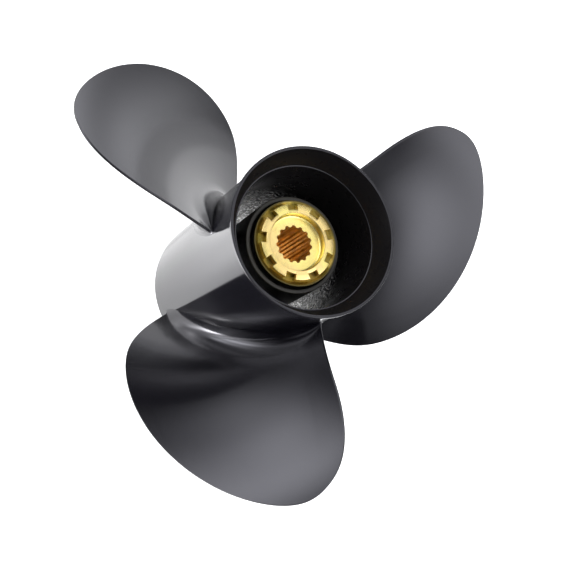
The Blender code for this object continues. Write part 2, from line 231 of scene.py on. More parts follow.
class SleeveSizes(bpy.types.PropertyGroup):
    """The splined brass sleeve with its castellated head, and the end plate under it."""

    front: length("Front end", 0.0160, "Height of the sleeve's front end")
    radius: length("Radius", 0.0190, "Outer radius of the sleeve")
    head_aft: length("Head aft end", 0.1494, "Height of the head's aft face")
    head_radius: length("Head radius", 0.0269, "Outer radius of the head's lugs")
    head_thickness: length("Head thickness", 0.0045, "Thickness of the head")
    head_edge: length("Head edge", 0.00025, "Rounding of the head's edges")
    front_edge: length("Front edge", 0.0004, "Rounding of the front end's outer edge")
    neck_radius: length("Neck radius", 0.0227, "Radius of the neck under the head")
    neck_edge: length("Neck edge", 0.0003, "Rounding of the neck's front edge")
    neck_gap: length("Neck gap", 0.0003, "Gap between the neck and the bush")
    recess_radius: length("Recess radius", 0.0203, "Radius of the recess in the head")
    recess_depth: length("Recess depth", 0.0062, "Depth of the recess")
    recess_fillet: length("Recess fillet", 0.0018, "Fillet at the foot of the recess wall")
    recess_edge: length("Recess edge", 0.0004, "Rounding of the recess's edge")
    notch_count: count("Notches", 9, "Number of notches in the head", 3, 24)
    notch_bottom: length("Notch bottom", 0.0229, "Radius of the notches' bottom")
    notch_half: turn("Notch half angle", 9.0, "Half the angle that a notch takes at its bottom")
    notch_phase: turn("Notch phase", 35.4, "Turn of the first notch round the shaft")
    teeth: count("Teeth", 15, "Teeth of the spline", 6, 40)
    spline_major: length("Spline major radius", 0.0132, "Radius at the foot of the teeth")
    spline_minor: length("Spline minor radius", 0.0119, "Radius at the top of the teeth")
    spline_phase: turn("Spline phase", 4.7, "Turn of the spline round the shaft")
    spline_flank: amount("Spline flank", 1.6, "Steepness of the teeth's flanks", 1.0, 8.0)
    spline_mouth: length("Spline mouth", 0.00025, "Chamfer at both ends of the teeth")
    plate_radius: length("Plate radius", 0.0305, "Outer radius of the end plate")
    plate_thickness: length("Plate thickness", 0.0020, "Thickness of the end plate")
    plate_flat: length("Plate flat radius", 0.0275, "Radius at which the plate's edge starts to rise")
    plate_rim: length("Plate rim", 0.0012, "Rise of the plate's edge")
    plate_rim_width: length("Plate rim width", 0.0008, "Width of the plate's raised edge")
    plate_gap: length("Plate gap", 0.0003, "Gap between plate and head")
    plate_hole_gap: length("Plate hole gap", 0.0001, "Gap between the plate's hole and the neck")


class Finishes(bpy.types.PropertyGroup):
    """The colours of the propeller's finishes."""

    paint: colour("Paint", (0.0032, 0.0030, 0.0046), "Black enamel of blades and barrel")
    core: colour("Core", (0.0100, 0.0092, 0.0100), "Black enamel inside the hub")
    rubber: colour("Rubber", (0.012, 0.011, 0.010), "Rubber of the bush")
    brass: colour("Brass", (0.96, 0.81, 0.27), "Machined brass of the sleeve")
    bore: colour("Bore", (0.86, 0.56, 0.16), "Darker, greased brass in the splined bore")
    plate: colour("Plate", (0.33, 0.225, 0.042), "Yellow passivated plating of the end plate")


class Studio(bpy.types.PropertyGroup):
    """The floor, lights and camera, which aren't part of the propeller."""

    floor_size: length("Floor size", 6.0, "Side of the square floor")
    floor_colour: colour("Floor colour", (0.88, 0.88, 0.89), "Colour of the pale floor")
    field_glow: amount("Field glow", 0.90, "Light that the bright field gives upwards", 0.0, 20.0)
    floor_glow: amount("Floor glow", 0.50, "Light that the floor gives further out", 0.0, 20.0)
    sky_colour: colour("Surroundings", (0.93, 0.94, 0.96), "Colour of the pale surroundings")
    sky_strength: amount("Surroundings' strength", 0.00, "Strength of the surroundings' light", 0.0, 20.0)
    ground_glow: amount("Ground glow", 1.2, "Light of the ground past the floor's edge", 0.0, 20.0)
    floor_drop: length("Floor drop", 0.0002, "How far the floor lies under the hub's front end")
    pad_radius: length("Pad radius", 0.0490, "Radius of the light pad under the open hub")
    pad_glow: amount("Pad glow", 2.0, "Light that the pad sends up through the hub", 0.0, 20.0)


class Signal:
    """A shader socket. An expression on signals and numbers adds Math nodes."""

    def __init__(self, nodes, socket):
        self.nodes = nodes
        self.socket = socket

    def math(self, operation, *values):
        return self.nodes.node("ShaderNodeMath", {"operation": operation}, dict(enumerate((self, *values))))

    def __add__(self, other):
        return self.math("ADD", other)

    __radd__ = __add__

    def __sub__(self, other):
        return self.math("SUBTRACT", other)

    def __rsub__(self, other):
        return self.nodes.node("ShaderNodeMath", {"operation": "SUBTRACT"}, {0: other, 1: self})

    def __mul__(self, other):
        return self.math("MULTIPLY", other)

    __rmul__ = __mul__

    def ramp(self, low, high):
        """0 below low, 1 above high, and smooth between them. Low may be the larger of the two."""
        settings = {"interpolation_type": "SMOOTHSTEP"}
        inputs = {"Value": self, "From Min": low, "From Max": high, "To Min": 0.0, "To Max": 1.0}
        return self.nodes.node("ShaderNodeMapRange", settings, inputs)


class Nodes:
    """A node tree in the making, of a material or of the world."""

    def __init__(self, owner):
        owner.use_nodes = True
        self.tree = owner.node_tree
        self.tree.nodes.clear()

    def node(self, kind, settings=None, inputs=None, output=None):
        """Adds a node: its settings first, then the values or links of its sockets. Returns one of its outputs."""
        made = self.tree.nodes.new(kind)
        for name, value in (settings or {}).items():
            setattr(made, name, value)
        for name, value in (inputs or {}).items():
            if isinstance(name, int):
                socket = made.inputs[name]
            else:
                socket = next(s for s in made.inputs if s.enabled and s.name == name)
            if isinstance(value, Signal):
                self.tree.links.new(value.socket, socket)
            else:
                socket.default_value = value
        found = next((s for s in made.outputs if s.enabled and output in (None, s.name)), None)
        return Signal(self, found)


class Finish(Nodes):
    """A material in the making, with one shader."""

    def __init__(self, name):
        old = bpy.data.materials.get(name)
        if old:
            bpy.data.materials.remove(old)
        self.material = bpy.data.materials.new(name)
        super().__init__(self.material)

    def object_place(self, scale=(1.0, 1.0, 1.0)):
        """Object coordinates through a Mapping node."""
        spot = self.node("ShaderNodeTexCoord", output="Object")
        return self.node("ShaderNodeMapping", None, {"Vector": spot, "Scale": scale})

    def radius_and_height(self):
        """Distance from the shaft's axis, and height over the front end."""
        spot = self.node("ShaderNodeTexCoord", output="Object")
        flat = self.node("ShaderNodeVectorMath", {"operation": "MULTIPLY"}, {0: spot, 1: (1.0, 1.0, 0.0)})
        radius = self.node("ShaderNodeVectorMath", {"operation": "LENGTH"}, {0: flat}, "Value")
        height = self.node("ShaderNodeSeparateXYZ", None, {0: spot}, "Z")
        return radius, height

    def noise(self, place, scale, detail=2.0, roughness=0.5, distortion=0.0):
        inputs = {"Vector": place, "Scale": scale, "Detail": detail, "Roughness": roughness, "Distortion": distortion}
        return self.node("ShaderNodeTexNoise", None, inputs, "Fac")

    def mix(self, factor, first, second):
        """A colour between two."""
        settings = {"data_type": "RGBA", "blend_type": "MIX"}
        return self.node("ShaderNodeMix", settings, {"Factor": factor, "A": first, "B": second}, "Result")

    def bump(self, height, distance):
        return self.node("ShaderNodeBump", None, {"Height": height, "Distance": distance, "Strength": 1.0})

    def shade(self, **sockets):
        """Closes the material with a Principled shader."""
        inputs = {name.replace("_", " ").title().replace("Ior", "IOR"): value for name, value in sockets.items()}
        shader = self.node("ShaderNodeBsdfPrincipled", None, inputs)
        self.node("ShaderNodeOutputMaterial", {"target": "ALL"}, {"Surface": shader})
        return self.material


def tinted(shade, factor):
    """The colour made lighter or darker."""
    return (*(min(1.0, channel * factor) for channel in shade[:3]), 1.0)


def enamel(name, shade, roughness, peel):
    """Glossy black enamel over a casting: faint clouds, orange peel and dust."""
    finish = Finish(name)
    place = finish.object_place()
    clouds = finish.noise(place, 17.0, 3.0, 0.55)
    ripple = finish.noise(place, 95.0, 2.0, 0.5)
    grain = finish.noise(place, 900.0, 2.0, 0.6)
    dust = finish.noise(place, 2600.0, 1.0, 0.5).ramp(0.66, 0.80)
    base = finish.mix(clouds.ramp(0.3, 0.7), tinted(shade, 0.8), tinted(shade, 1.3))
    base = finish.mix(dust * 0.35, base, tinted(shade, 6.0))
    return finish.shade(
        base_color=base,
        roughness=roughness + (clouds - 0.5) * 0.06 + (grain - 0.5) * 0.05,
        specular_tint=(0.93, 0.92, 1.0, 1.0),
        normal=finish.bump(ripple * 0.5 + grain * 0.14, peel),
    )


def cast_wall(name, shade):
    """The barrel's inner wall: turned smooth and dull near the mouth. Deeper down it is rough as cast, with pale,
    slightly metallic grains painted on as glints."""
    finish = Finish(name)
    grainy = finish.object_place(scale=(1.0, 1.0, 0.5))
    height = finish.radius_and_height()[1]
    grit = finish.noise(grainy, 640.0, 1.0, 0.5)
    lumps = finish.noise(grainy, 300.0, 2.0, 0.5)
    smooth = finish.noise(finish.object_place(), 120.0, 2.0, 0.5)
    rough_zone = height.ramp(0.120, 0.092)
    # Painted glints: pale grains on the rough wall deeper down, fading out near the front end
    painted_glints = height.ramp(0.092, 0.055) * height.ramp(0.004, 0.034) * (grit * 0.9 + lumps * 0.1).ramp(0.52, 0.58)
    base = finish.mix(painted_glints, shade, (0.97, 0.97, 0.98, 1.0))
    return finish.shade(
        base_color=base,
        metallic=painted_glints * 0.2,
        roughness=0.28 + (smooth - 0.5) * 0.06,
        specular_ior_level=0.07,
        normal=finish.bump(rough_zone * (grit + lumps * 0.5) + smooth * 0.02, 0.0014),
    )


def core_enamel(name, shade):
    """Duller enamel of the inner tube and the ribs, thin on the tube's turned end."""
    finish = Finish(name)
    place = finish.object_place()
    height = finish.radius_and_height()[1]
    grit = finish.noise(place, 700.0, 3.0, 0.6)
    clouds = finish.noise(place, 40.0, 2.0, 0.5)
    end_zone = height.ramp(0.1385, 0.1405)
    base = finish.mix(end_zone, shade, (0.050, 0.046, 0.036, 1.0))
    base = finish.mix(clouds.ramp(0.4, 0.8) * 0.5, base, tinted(shade, 1.6))
    return finish.shade(
        base_color=base,
        roughness=0.42 + (clouds - 0.5) * 0.1 + (grit - 0.5) * 0.1,
        normal=finish.bump(grit * (1.0 - 0.8 * end_zone), 0.00025),
    )


def moulded_rubber(name, shade):
    finish = Finish(name)
    place = finish.object_place()
    radius = finish.radius_and_height()[0]
    grain = finish.noise(place, 1500.0, 3.0, 0.6)
    clouds = finish.noise(place, 60.0, 2.0, 0.5)
    rings = (radius * 7500.0).math("SINE")
    base = finish.mix(clouds.ramp(0.35, 0.75), shade, tinted(shade, 1.9))
    return finish.shade(
        base_color=base,
        roughness=0.62 + (clouds - 0.5) * 0.16,
        normal=finish.bump(grain + rings * 0.15, 0.00012),
    )


def turned_brass(name, shade):
    """Brass as it comes from the lathe: fine rings, a few deeper ones, and a warmer tarnish in patches."""
    finish = Finish(name)
    place = finish.object_place()
    radius, height = finish.radius_and_height()
    wander = finish.noise(place, 130.0, 2.0, 0.5)
    fine = ((radius + height) * 34000.0 + wander * 2.0).math("SINE")
    coarse = ((radius + height) * 7200.0 + wander * 1.5).math("SINE")
    stain = finish.noise(place, 240.0, 4.0, 0.6).ramp(0.52, 0.78)
    warmth = finish.noise(place, 38.0, 1.0, 0.5).ramp(0.42, 0.60)
    base = finish.mix(warmth, shade, (0.96, 0.73, 0.30, 1.0))
    base = finish.mix(stain * 0.35, base, (0.80, 0.52, 0.17, 1.0))
    return finish.shade(
        base_color=base,
        metallic=1.0,
        roughness=0.27 + 0.05 * fine + 0.07 * stain,
        normal=finish.bump(fine * 0.4 + coarse * 0.6, 0.000012),
    )


def broached_bore(name, shade):
    """Brass in the splined bore: cut lengthways and darkened by old grease."""
    finish = Finish(name)
    lengthways = finish.object_place(scale=(1.0, 1.0, 0.04))
    streaks = finish.noise(lengthways, 2600.0, 3.0, 0.6)
    place = finish.object_place()
    grease = finish.noise(place, 190.0, 3.0, 0.6).ramp(0.42, 0.66)
    base = finish.mix(grease * 0.6, shade, (0.48, 0.24, 0.045, 1.0))
    base = finish.mix(streaks.ramp(0.54, 0.66) * 0.8, base, (0.97, 0.72, 0.38, 1.0))
    return finish.shade(
        base_color=base,
        metallic=1.0 - 0.25 * grease,
        roughness=0.30 + 0.12 * streaks + 0.1 * grease,
        normal=finish.bump(streaks, 0.00006),
    )


def passivated_plating(name, shade):
    """Yellow passivated plating: olive gold that wanders to green and rust pink."""
    finish = Finish(name)
    place = finish.object_place()
    radius = finish.radius_and_height()[0]
    clouds = finish.noise(place, 75.0, 3.0, 0.6, 0.5)
    patches = finish.noise(place, 210.0, 3.0, 0.6)
    grain = finish.noise(place, 1100.0, 2.0, 0.6)
    base = finish.mix(clouds.ramp(0.40, 0.62), shade, (0.200, 0.165, 0.030, 1.0))
    base = finish.mix(patches.ramp(0.55, 0.72) * 0.6, base, (0.24, 0.12, 0.045, 1.0))
    base = finish.mix(grain.ramp(0.48, 0.66) * 0.5, base, (0.40, 0.32, 0.12, 1.0))
    # Painted shade: the plate's raised edge is darker all the way round
    base = finish.mix(radius.ramp(0.0291, 0.0296), base, (0.15, 0.12, 0.045, 1.0))
    return finish.shade(
        base_color=base,
        metallic=1.0,
        roughness=0.44 + (patches - 0.5) * 0.2,
        normal=finish.bump(grain, 0.00007),
    )


def floor_finish(name, shade, inner, outer, spots=()):
    """The pale floor, lit from inside like a sweep table: a bright field round the hub, fainter ground further
    out, and brighter spots. From below it isn't there."""
    finish = Finish(name)
    place = finish.node("ShaderNodeTexCoord", output="Object")
    away = finish.node("ShaderNodeVectorMath", {"operation": "LENGTH"}, {0: place}, "Value")
    glow = away.ramp(0.42, 0.35) * inner + away.ramp(0.15, 0.60) * outer + 0.1
    for across, along, width, strength in spots:
        middle = (across, along, 0.0)
        off = finish.node("ShaderNodeVectorMath", {"operation": "DISTANCE"}, {0: place, 1: middle}, "Value")
        glow = (off * off * (-math.log(2.0) / width**2)).math("EXPONENT") * strength + glow
    inputs = {"Base Color": shade, "Roughness": 0.8, "Emission Color": glow, "Emission Strength": 1.0}
    shader = finish.node("ShaderNodeBsdfPrincipled", None, inputs)
    clear = finish.node("ShaderNodeBsdfTransparent")
    below = finish.node("ShaderNodeNewGeometry", output="Backfacing")
    mixed = finish.node("ShaderNodeMixShader", None, {0: below, 1: shader, 2: clear})
    finish.node("ShaderNodeOutputMaterial", {"target": "ALL"}, {"Surface": mixed})
    return finish.material


def rounded(corners, steps=4):
    """A closed profile of (radius, height), from corners of (radius, height, rounding)."""
    profile = []
    for index, (radius, height, rounding) in enumerate(corners):
        corner = Vector((radius, height))
        if rounding == 0.0:
            profile.append(tuple(corner))
            continue
        before = (Vector(corners[index - 1][:2]) - corner).normalized()
        after = (Vector(corners[(index + 1) % len(corners)][:2]) - corner).normalized()
        half = before.angle(after) / 2.0
        centre = corner + (before + after).normalized() * (rounding / math.sin(half))
        start = corner + before * (rounding / math.tan(half)) - centre
        sweep = start.angle_signed(corner + after * (rounding / math.tan(half)) - centre)
        for step in range(steps + 1):
            bend = Matrix.Rotation(-sweep * step / steps, 2)
            profile.append(tuple(centre + bend @ start))
    return profile


def turned(profile, steps=ROUND_STEPS, closed=True):
    """A bmesh of the profile of (radius, height), turned about the shaft's axis."""
    bm = bmesh.new()
    verts = [bm.verts.new((radius, 0.0, height)) for radius, height in profile]
    ends = verts[1:] + verts[:1] if closed else verts[1:]
    edges = [bm.edges.new(pair) for pair in zip(verts, ends)]
    spin_about_shaft(bm, verts + edges, steps)
    return bm


def spin_about_shaft(bm, geom, steps):
    bmesh.ops.spin(
        bm, geom=geom, cent=(0.0, 0.0, 0.0), axis=(0.0, 0.0, 1.0), angle=math.tau, steps=steps, use_merge=True
    )


def turn_about_shaft(bm, bend):
    bmesh.ops.rotate(bm, verts=bm.verts, cent=(0.0, 0.0, 0.0), matrix=Matrix.Rotation(bend, 3, "Z"))


def bevel_edges(bm, edges, rounding, segments):
    bmesh.ops.bevel(
        bm, geom=edges, offset=rounding, offset_type="OFFSET", segments=segments, profile=0.5, affect="EDGES",
        material=-1, clamp_overlap=True,
    )


def add_object(context, name, bm, materials):
    """Makes the bmesh an object of the scene, in place of an older one."""
    old = bpy.data.objects.get(name)
    if old:
        bpy.data.objects.remove(old, do_unlink=True)
    mesh = bpy.data.meshes.new(name)
    bm.to_mesh(mesh)
    bm.free()
    for material in materials:
        mesh.materials.append(material)
    made = bpy.data.objects.new(name, mesh)
    context.scene.collection.objects.link(made)
    return made


def add_piece(context, name, bm, materials, nodes, sharp_degrees=35.0):
    """Makes the bmesh a piece that rides on the root body, stands for CAD nodes and takes its finish from a slot."""
    bmesh.ops.recalc_face_normals(bm, faces=bm.faces)
    piece = add_object(context, name, bm, materials)
    piece.data.shade_smooth()
    piece.data.set_sharp_from_angle(angle=math.radians(sharp_degrees))
    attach(piece, "root")
    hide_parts(*nodes)
    return piece


def ease(value):
    """Smooth step from 0 to 1."""
    value = min(max(value, 0.0), 1.0)
    return value * value * (3.0 - 2.0 * value)


def outline_point(share):
    """A point of the blade's outline, a cubic B-spline steered by OUTLINE, at a share of it from 0 to 1."""
    degree = 3
    spans = len(OUTLINE) - degree
    knots = [0.0] * degree + [step / spans for step in range(spans + 1)] + [1.0] * degree
    share = min(max(share, 0.0), 1.0 - 1e-9)
    span = degree + int(share * spans)
    points = [Vector(OUTLINE[index]) for index in range(span - degree, span + 1)]
    for level in range(1, degree + 1):
        for step in range(degree, level - 1, -1):
            low = knots[span - degree + step]
            high = knots[span + 1 + step - level]
            points[step] = points[step - 1].lerp(points[step], (share - low) / (high - low))
    return points[degree]


def blade_spot(across, along):
    """Where a blade has a share of its chord from the trailing edge and a share of its span from the root, as
    degrees round the shaft and metres from it: a patch between the outline's sides."""
    side = outline_point(TRAILING_END * along).lerp(outline_point(1.0 - (1.0 - LEADING_START) * along), across)
    tip = outline_point(TRAILING_END + (LEADING_START - TRAILING_END) * across)
    return side + (tip - outline_point(TRAILING_END).lerp(outline_point(LEADING_START), across)) * along


def barrel_radius(barrel, height):
    return barrel.front_radius + (barrel.aft_radius - barrel.front_radius) * height / barrel.length


def blade_height(sizes, degrees, radius):
    """Height of a blade's aft face over the hub's front end."""
    bend = math.radians(degrees)
    out = radius - sizes.root_radius
    screw = (sizes.pitch / math.tau + sizes.pitch_rise * out) * bend
    return sizes.root_height + screw + sizes.rake * out - sizes.rake_fall * out**2 - sizes.edge_droop * bend**2 * radius


def share_at_rise(barrel, sizes, across, rise):
    """The share of the span at which the blade stands this far off the barrel."""
    low, high = 0.0, 0.4
    for _ in range(18):
        middle = (low + high) / 2.0
        degrees, radius = blade_spot(across, middle)
        if radius - barrel_radius(barrel, blade_height(sizes, degrees, radius)) < rise:
            low = middle
        else:
            high = middle
    return low


def chord_shares(columns):
    """Shares of the chord at the grid's columns, close together near both edges."""
    edge = len(EDGE_COLUMNS)
    plain = columns - 2 * edge
    middle = [EDGE_ZONE + (1.0 - 2.0 * EDGE_ZONE) * step / plain for step in range(plain + 1)]
    return [*EDGE_COLUMNS, *middle, *(1.0 - share for share in reversed(EDGE_COLUMNS))]


def span_rows(barrel, sizes, across):
    """For one column: the share of the span and the fillet's growth at each row, from under the barrel's skin to
    the tip. The fillet is full in the middle of the chord and small at the edges."""
    fillet = sizes.edge_fillet + (sizes.root_fillet - sizes.edge_fillet) * (1.0 - abs(2.0 * across - 1.0) ** 3)
    reach = sizes.fillet_reach * fillet
    rows = [(-0.0012, fillet + 0.0007), (-0.00005, fillet + 0.0006)]
    for step in range(sizes.fillet_rows + 1):
        bend = math.pi / 2.0 * (1.0 - step / sizes.fillet_rows)
        rows.append((reach * (1.0 - math.sin(bend)), fillet * (1.0 - math.cos(bend))))
    found = [(share_at_rise(barrel, sizes, across, rise), growth) for rise, growth in rows]
    start = found[-1][0]
    plain = sizes.rows + 1 - len(found) - len(TIP_ROWS) - 1
    shares = [start + (TIP_ZONE - start) * step / plain for step in range(1, plain + 1)]
    return found + [(share, 0.0) for share in (*shares, *reversed(TIP_ROWS), 1.0)]


def blade_thickness(sizes, across, along, radius):
    share = ease((radius - sizes.root_radius) / (sizes.tip_radius - sizes.root_radius))
    middle = sizes.root_thickness + (sizes.outer_thickness - sizes.root_thickness) * share
    belly = (1.0 - (2.0 * across - 1.0) ** 2) * (1.0 - along**6)
    return sizes.edge_thickness + (middle - sizes.edge_thickness) * belly


def blade_point(sizes, across, along, growth, level):
    """A point of a blade before it is turned to its place. The level says where it is in the thickness: 0 is the
    aft face, the last one the forward face, and those between them the rim."""
    inside, depth_share = RIM_LEVELS[level]
    if level > 2:
        growth *= sizes.forward_fillet
    inset = inside * sizes.edge_rounding
    chord_inset = inset / ROUGH_CHORD
    degrees, radius = blade_spot(
        chord_inset + (1.0 - 2.0 * chord_inset) * across, along * (1.0 - inset / ROUGH_SPAN)
    )
    lean = math.atan2(sizes.pitch / math.tau, radius)
    edge_bend = FILLET_TURN * max(0.0, 1.0 - min(across, 1.0 - across) / FILLET_TURN_ZONE)
    depth = depth_share * sizes.edge_rounding - growth * math.cos(edge_bend)
    if level > 2:
        depth = blade_thickness(sizes, across, along, radius) + growth * math.cos(edge_bend)
        depth += depth_share * sizes.edge_rounding
    sideways = math.copysign(growth * math.sin(edge_bend), 0.5 - across)
    bend = math.radians(degrees) + (depth * math.sin(lean) + sideways * math.cos(lean)) / radius
    height = blade_height(sizes, degrees, radius) + sideways * math.sin(lean) - depth * math.cos(lean)
    return Vector((radius * math.cos(bend), radius * math.sin(bend), height))


def blade_bmesh(barrel, sizes):
    """One blade: a grid for its aft face, extruded to the forward face, with the rim cut into levels."""
    bm = bmesh.new()
    bmesh.ops.create_grid(bm, x_segments=sizes.columns, y_segments=sizes.rows, size=1.0)
    made = bmesh.ops.extrude_face_region(bm, geom=list(bm.faces))
    forward = [item for item in made["geom"] if isinstance(item, bmesh.types.BMVert)]
    bmesh.ops.translate(bm, verts=forward, vec=(0.0, 0.0, -1.0))
    through = [edge for edge in bm.edges if abs(edge.verts[0].co.z - edge.verts[1].co.z) > 0.5]
    bmesh.ops.subdivide_edges(bm, edges=through, cuts=len(RIM_LEVELS) - 2)
    columns = chord_shares(sizes.columns)
    rows = [span_rows(barrel, sizes, across) for across in columns]
    for vert in bm.verts:
        column = round((vert.co.x + 1.0) / 2.0 * sizes.columns)
        row = round((vert.co.y + 1.0) / 2.0 * sizes.rows)
        level = round(-vert.co.z * (len(RIM_LEVELS) - 1))
        along, growth = rows[column][row]
        vert.co = blade_point(sizes, columns[column], along, growth, level)
    return bm


class PieceMaker:
    """What the operators have in common."""

    bl_options = {"REGISTER", "UNDO"}


class PROPELLER_OT_barrel(PieceMaker, bpy.types.Operator):
    """Turn the outer barrel with its flared lip, smooth outside and rough as cast deep inside"""

    bl_idname = "propeller.barrel"
    bl_label = "Outer barrel"

    def execute(self, context):
        sizes = context.scene.propeller_barrel
        colours = context.scene.propeller_finishes
        aft = sizes.length
        corners = [(sizes.lip_radius, aft, sizes.lip_rounding)]
        flare_end = aft - sizes.lip_band
        flare_start = aft - sizes.flare_length
        for step in range(13):
            height = flare_end + (flare_start - flare_end) * step / 12
            plain = barrel_radius(sizes, height)
            corners.append((sizes.lip_radius + (plain - sizes.lip_radius) * ease(step / 12), height, 0.0))
        foot = aft - sizes.flare_depth
        corners += [
            (sizes.front_radius, 0.0, sizes.front_rounding),
            (sizes.bore_radius, 0.0, sizes.bore_rounding),
            (sizes.bore_radius, foot, sizes.step_fillet),
            (sizes.bore_radius + sizes.step_width, foot, 0.0),
            (sizes.lip_radius - sizes.lip_width, aft, sizes.lip_rounding),
        ]
        bm = turned(rounded(corners, 6))
        bmesh.ops.recalc_face_normals(bm, faces=bm.faces)
        for face in bm.faces:
            outwards = face.normal.xy.dot(face.calc_center_median().xy.normalized())
            face.material_index = int(outwards < -0.5)
        materials = [enamel("barrel_enamel", colours.paint, 0.12, 0.00003), cast_wall("cast_wall", colours.core)]
        add_piece(context, "barrel_casting", bm, materials, ["outer_barrel"])
        return {"FINISHED"}


class PROPELLER_OT_blades(PieceMaker, bpy.types.Operator):
    """Model the swept blades, with fillets that run into the barrel"""

    bl_idname = "propeller.blades"
    bl_label = "Blades"

    def execute(self, context):
        sizes = context.scene.propeller_blades
        first = blade_bmesh(context.scene.propeller_barrel, sizes)
        material = enamel("blade_enamel", context.scene.propeller_finishes.paint, 0.15, 0.00003)
        for number in range(sizes.count):
            bm = first.copy()
            bend = sizes.phase + number * math.tau / sizes.count
            turn_about_shaft(bm, bend)
            name = f"swept_blade_{number + 1}"
            add_piece(context, name, bm, [material], [f"blade_{number + 1}"], 50.0)
        first.free()
        return {"FINISHED"}


class PROPELLER_OT_core(PieceMaker, bpy.types.Operator):
    """Turn the casting's inner tube and set the ribs between it and the barrel"""

    bl_idname = "propeller.core"
    bl_label = "Inner tube and ribs"

    def execute(self, context):
        sizes = context.scene.propeller_core
        barrel = context.scene.propeller_barrel
        material = core_enamel("core_enamel", context.scene.propeller_finishes.core)
        corners = [
            (sizes.tube_radius, sizes.tube_aft, sizes.tube_rounding),
            (sizes.tube_radius, sizes.tube_front, sizes.tube_rounding),
            (sizes.tube_bore, sizes.tube_front, sizes.tube_rounding),
            (sizes.tube_bore, sizes.tube_aft, sizes.tube_rounding),
        ]
        bm = turned(rounded(corners, 5))
        add_piece(context, "core_tube", bm, [material], ["inner_tube"])
        inner = sizes.tube_radius - sizes.rib_overlap
        outer = barrel.bore_radius + sizes.rib_overlap
        for number in range(sizes.rib_count):
            bm = bmesh.new()
            bmesh.ops.create_cube(bm, size=1.0)
            for vert in bm.verts:
                at_barrel = vert.co.x > 0.0
                slope = sizes.rib_slope if at_barrel else 0.0
                height = sizes.rib_aft - slope if vert.co.z > 0.0 else sizes.rib_front + slope / 2.0
                vert.co = (outer if at_barrel else inner, vert.co.y * sizes.rib_thickness, height)
            bevel_edges(bm, list(bm.edges), sizes.rib_rounding, 4)
            bend = sizes.rib_phase + number * math.tau / sizes.rib_count
            turn_about_shaft(bm, bend)
            node = f"hub_rib_{number + 1}"
            add_piece(context, f"core_rib_{number + 1}", bm, [material], [node])
        return {"FINISHED"}


class PROPELLER_OT_bush(PieceMaker, bpy.types.Operator):
    """Turn the rubber bush, hollowed at both ends"""

    bl_idname = "propeller.bush"
    bl_label = "Rubber bush"

    def execute(self, context):
        sizes = context.scene.propeller_core
        inner = context.scene.propeller_sleeve.radius + sizes.bush_gap
        outer = sizes.tube_bore - sizes.bush_gap
        profile = []
        steps = 10
        for step in range(steps + 1):
            dish = sizes.bush_dish * math.sin(math.pi * step / steps)
            profile.append((outer + (inner - outer) * step / steps, sizes.bush_front + dish))
        profile += [(radius, sizes.bush_aft + sizes.bush_front - height) for radius, height in reversed(profile)]
        material = moulded_rubber("moulded_rubber", context.scene.propeller_finishes.rubber)
        add_piece(context, "cushion_bush", turned(profile), [material], ["rubber_bush"])
        return {"FINISHED"}


def castellated_ring(sizes):
    """The head's outer part, with notches, and open where the rest of the sleeve joins it. Its first notch is at
    the turn 0."""
    bm = bmesh.new()
    rim = sizes.recess_radius + sizes.recess_edge
    verts = [bm.verts.new((radius, 0.0, sizes.head_aft)) for radius in (rim, sizes.notch_bottom, sizes.head_radius)]
    edges = [bm.edges.new(pair) for pair in zip(verts, verts[1:])]
    spin_about_shaft(bm, verts + edges, SLEEVE_COLUMNS)
    spacing = math.tau / sizes.notch_count

    def off_notch(point):
        """Turn from the middle of the nearest notch."""
        bend = math.atan2(point.y, point.x)
        return bend - round(bend / spacing) * spacing

    middle = (sizes.notch_bottom + sizes.head_radius) / 2.0
    cut = [
        face
        for face in bm.faces
        if face.calc_center_median().xy.length > middle - 0.001
        and abs(off_notch(face.calc_center_median())) < sizes.notch_half
    ]
    bmesh.ops.delete(bm, geom=cut, context="FACES")
    outer_half = math.asin(sizes.notch_bottom * math.sin(sizes.notch_half) / sizes.head_radius)
    stretch = (spacing / 2.0 - outer_half) / (spacing / 2.0 - sizes.notch_half)
    for vert in bm.verts:
        if vert.co.xy.length > middle:
            off = off_notch(vert.co)
            wanted = math.copysign(spacing / 2.0 - (spacing / 2.0 - abs(off)) * stretch, off)
            vert.co.xy = Matrix.Rotation(wanted - off, 2) @ vert.co.xy
    made = bmesh.ops.extrude_face_region(bm, geom=list(bm.faces))
    lower = [item for item in made["geom"] if isinstance(item, bmesh.types.BMVert)]
    bmesh.ops.translate(bm, verts=lower, vec=(0.0, 0.0, -sizes.head_thickness))
    wall = [face for face in bm.faces if max(vert.co.xy.length for vert in face.verts) < rim + NEAR]
    bmesh.ops.delete(bm, geom=wall, context="FACES_ONLY")
    loose = [edge for edge in bm.edges if not edge.link_faces]
    bmesh.ops.delete(bm, geom=loose, context="EDGES")
    for vert in lower:
        if vert.co.xy.length < rim + NEAR:
            vert.co.xy *= sizes.neck_radius / rim
    bmesh.ops.recalc_face_normals(bm, faces=bm.faces)
    corners = [edge for edge in bm.edges if edge.is_manifold and edge.calc_face_angle() > math.radians(60.0)]
    bevel_edges(bm, corners, sizes.head_edge, 2)
    return bm


def spline_radius(sizes, bend):
    """Radius of the splined bore at a turn round the shaft."""
    wave = sizes.spline_flank * math.cos(sizes.teeth * (bend - sizes.spline_phase))
    middle = (sizes.spline_major + sizes.spline_minor) / 2.0
    return middle + (sizes.spline_major - sizes.spline_minor) / 2.0 * min(max(wave, -1.0), 1.0)


